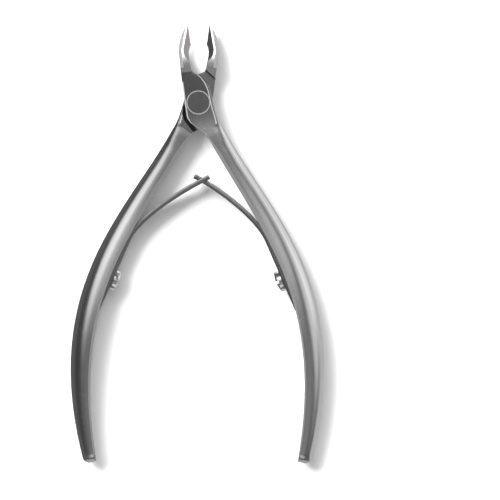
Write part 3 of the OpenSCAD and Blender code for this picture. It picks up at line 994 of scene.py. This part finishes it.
def spring_screw_mesh():
    """A straight-sided head with a low slotted dome, over a plain shank."""
    r, rim = SCREW_HEAD_D / 2, SCREW_RIM
    dome = SCREW_HEAD_H - rim
    ball = (r * r + dome * dome) / (2 * dome)
    centre = SCREW_HEAD_H - ball
    core, low = SPRING_SCREW_D / 2, -SPRING_SCREW_L - LEAF_T
    profile = [
        (0, low), (core - 0.2, low), (core, low + 0.3), (core, 0.01),
        (r - 0.1, 0.01), (r, 0.11), (r, rim - 0.08),
    ]
    edge = math.degrees(math.asin((r - 0.06) / ball))
    for i in range(DOME_STEPS + 1):
        a = edge * (1 - i / DOME_STEPS)
        profile.append((ball * sin(a) if i < DOME_STEPS else 0, centre + ball * cos(a)))
    slot = slot_box(SPRING_SLOT_W, SPRING_SLOT_H, SCREW_HEAD_H, r)
    return cut_away(lathe(profile), slot)


SCREW_AXIS = shift(LEAF_SCREW[0], LEAF_SCREW[1], 0) @ rot("Z", LEAF_LEAN) @ rot("Y", -90)
for name, place, body, node in (
    ("LeftSpringScrew", IN_BACK, "back_lever", "left_spring_screw"),
    ("RightSpringScrew", IN_FRONT, "front_lever", "right_spring_screw"),
):
    o = piece(name, spring_screw_mesh(), [polished], place @ SCREW_AXIS)
    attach(o, body)
    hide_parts(node)

# ---- floor, lights and camera ----


def plane(name, size, location, material):
    s = size / 2
    mesh = bpy.data.meshes.new(name)
    mesh.from_pydata([(-s, -s, 0), (s, -s, 0), (s, s, 0), (-s, s, 0)], [], [(0, 1, 2, 3)])
    o = bpy.data.objects.new(name, mesh)
    bpy.context.scene.collection.objects.link(o)
    o.location = location
    mesh.materials.append(material)
    return o


floor_paint = bpy.data.materials.new("floor_paint")
floor_paint.use_nodes = True
paint = floor_paint.node_tree.nodes["Principled BSDF"].inputs
paint["Base Color"].default_value = (0.86, 0.86, 0.86, 1)
paint["Roughness"].default_value = 0.9
paint["Specular IOR Level"].default_value = 0.0
FLOOR_SIZE, FLOOR_GAP = 6.0, 0.0003
floor = plane("Floor", FLOOR_SIZE, (0, 0, cad_lo.z - FLOOR_GAP), floor_paint)
floor.visible_glossy = False


LIT_POINT = (0, -0.04, 0.003)


def sheet_light(name, direction, distance, size, power):
    """A square lamp that faces the object and isn't seen in its steel."""
    light = bpy.data.lights.new(name, "AREA")
    light.shape = "RECTANGLE"
    light.size = light.size_y = size
    light.energy = power
    o = bpy.data.objects.new(name, light)
    bpy.context.scene.collection.objects.link(o)
    d = Vector(direction).normalized()
    o.location = Vector(LIT_POINT) + d * distance
    o.rotation_mode = "QUATERNION"
    o.rotation_quaternion = (-d).to_track_quat("-Z", "Y")
    o.visible_glossy = False


sheet_light("Key", (-0.46, 0.40, 0.80), 1.0, 0.5, 18)
sheet_light("Overhead", (0.1, 0.1, 1.0), 1.6, 1.2, 8)

# The room's light by direction: the way to a panel, the degrees from it where its light ends and
# where it is full, and its strength
ROOM_LEVEL = 0.14
ROOM_LOBES = [
    ((0.0, 0.50, 0.87), 29, 20, 0.50),
    ((0.0, 0.95, 0.30), 36, 10, 0.06),
    ((0.0, 0.60, 0.80), 18, 13, 2.00),
    ((-0.50, 0.42, 0.76), 27, 8, 1.05),
    ((0.88, 0.25, 0.42), 32, 10, 0.70),
    ((0.82, 0.55, -0.05), 32, 14, 0.65),
    ((0.35, -0.25, 0.90), 22, 5, 0.10),
    ((0.0, -0.45, 0.89), 26, 8, 0.10),
    ((-0.92, 0.05, 0.40), 40, 10, -0.08),
    ((0.75, 0.00, -0.65), 50, 25, 0.50),
    ((0.0, -0.86, 0.50), 20, 14, 0.50),
    ((0.0, 0.80, -0.60), 34, 22, 0.90),
    ((0.0, -0.80, -0.60), 34, 22, 0.40),
]
ROOM_LOWEST = 0.02
BACKDROP = 0.93


def studio():
    """A dim room with soft panels, and a pale backdrop that only the camera sees."""
    world = bpy.data.worlds.new("studio")
    bpy.context.scene.world = world
    world.use_nodes = True
    t = world.node_tree
    t.nodes.clear()
    place = t.nodes.new("ShaderNodeTexCoord")

    def math_node(operation, a, b):
        n = t.nodes.new("ShaderNodeMath")
        n.operation = operation
        for i, v in enumerate((a, b)):
            if isinstance(v, (int, float)):
                n.inputs[i].default_value = v
            else:
                t.links.new(v, n.inputs[i])
        return n.outputs[0]

    def lobe(direction, outer, inner, strength):
        dot = t.nodes.new("ShaderNodeVectorMath")
        dot.operation = "DOT_PRODUCT"
        t.links.new(place.outputs["Generated"], dot.inputs[0])
        dot.inputs[1].default_value = Vector(direction).normalized()
        r = t.nodes.new("ShaderNodeMapRange")
        r.interpolation_type = "SMOOTHSTEP"
        r.inputs["From Min"].default_value = cos(outer)
        r.inputs["From Max"].default_value = cos(inner)
        r.inputs["To Max"].default_value = strength
        t.links.new(dot.outputs["Value"], r.inputs["Value"])
        return r.outputs["Result"]

    total = ROOM_LEVEL
    for direction, outer, inner, strength in ROOM_LOBES:
        total = math_node("ADD", total, lobe(direction, outer, inner, strength))
    total = math_node("MAXIMUM", total, ROOM_LOWEST)
    room = t.nodes.new("ShaderNodeBackground")
    t.links.new(total, room.inputs["Color"])
    backdrop = t.nodes.new("ShaderNodeBackground")
    backdrop.inputs["Color"].default_value = (BACKDROP, BACKDROP, BACKDROP, 1)
    path = t.nodes.new("ShaderNodeLightPath")
    mix = t.nodes.new("ShaderNodeMixShader")
    out = t.nodes.new("ShaderNodeOutputWorld")
    t.links.new(path.outputs["Is Camera Ray"], mix.inputs["Fac"])
    t.links.new(room.outputs[0], mix.inputs[1])
    t.links.new(backdrop.outputs[0], mix.inputs[2])
    t.links.new(mix.outputs[0], out.inputs["Surface"])


studio()

VIEW_MM = 140.85  # width of the picture at the joint's front face
VIEW_CENTRE = (14.535, -41.52)
ROLL = 0.22
DISTANCE = 2.0
SENSOR = 36
camera = bpy.data.cameras.new("Camera")
camera.sensor_width = SENSOR
camera.lens = SENSOR * DISTANCE / (VIEW_MM * MM)
camera.clip_start, camera.clip_end = 0.1, 20
cam = bpy.data.objects.new("Camera", camera)
bpy.context.scene.collection.objects.link(cam)
centre = turned(VIEW_CENTRE, ROLL)
cam.location = (centre[0] * MM, centre[1] * MM, HALF_T * MM + DISTANCE)
cam.rotation_euler = (0, 0, math.radians(ROLL))
bpy.context.scene.camera = cam
bpy.context.scene.view_settings.view_transform = "Standard"
